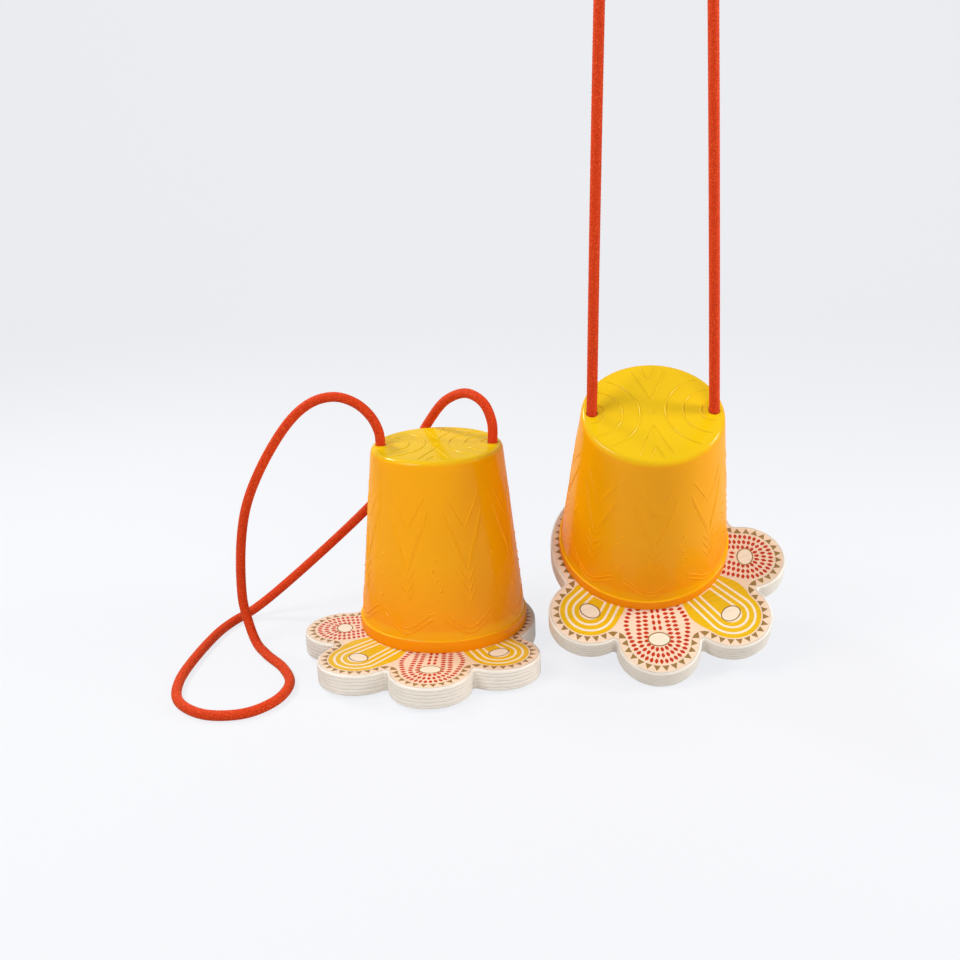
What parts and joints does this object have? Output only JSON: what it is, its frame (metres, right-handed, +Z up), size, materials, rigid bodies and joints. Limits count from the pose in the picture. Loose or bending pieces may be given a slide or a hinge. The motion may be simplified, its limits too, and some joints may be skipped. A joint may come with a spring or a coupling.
{
  "type": "tin can stilts",
  "caption": "Pair of low walking stilts: glossy moulded pots on paw-shaped plywood boards with looped cord handles, one heel lifted in a step.",
  "frame": {"origin": "middle of the pair's footprint on the floor, without the cords", "axes": "+X from the left stilt to the right one, +Y towards the heels so that the toes point to -Y, +Z up"},
  "size_m": [0.419, 0.1919, 0.6155],
  "materials": {
    "pot": "glossy moulded plastic, yellow-orange",
    "plywood": "pale lacquered plywood with a printed top",
    "grip": "matte black rubber",
    "cord": "braided cord, red-orange",
    "screw": "zinc plated"
  },
  "bodies": {
    "left_stilt": {"left_pot": "pot", "left_paw_board": "plywood", "left_toe_pad_1": "grip", "left_toe_pad_2": "grip", "left_toe_pad_3": "grip", "left_toe_pad_4": "grip", "left_heel_strip": "grip", "left_screws": "screw", "left_knots": "cord", "left_cord": "cord"},
    "right_stilt": {"right_pot": "pot", "right_paw_board": "plywood", "right_toe_pad_1": "grip", "right_toe_pad_2": "grip", "right_toe_pad_3": "grip", "right_toe_pad_4": "grip", "right_heel_strip": "grip", "right_screws": "screw", "right_knots": "cord"},
    "right_handle": {"right_cord": "cord"}
  },
  "joints": [
    {"name": "right_heel_tilt", "type": "hinge", "parent": "left_stilt", "child": "right_stilt", "pos_m": [0.071, -0.05692, 0], "axis": [1, 0, 0], "range_deg": [-30, 0]},
    {"name": "right_cord_swing", "type": "hinge", "parent": "right_stilt", "child": "right_handle", "pos_m": [0.071, -0.03741, 0.18101], "axis": [1, 0, 0], "range_deg": [0, 30]}
  ],
  "couplings": [
    {"joint": "right_cord_swing", "follows": "right_heel_tilt", "ratio": -1}
  ]
}
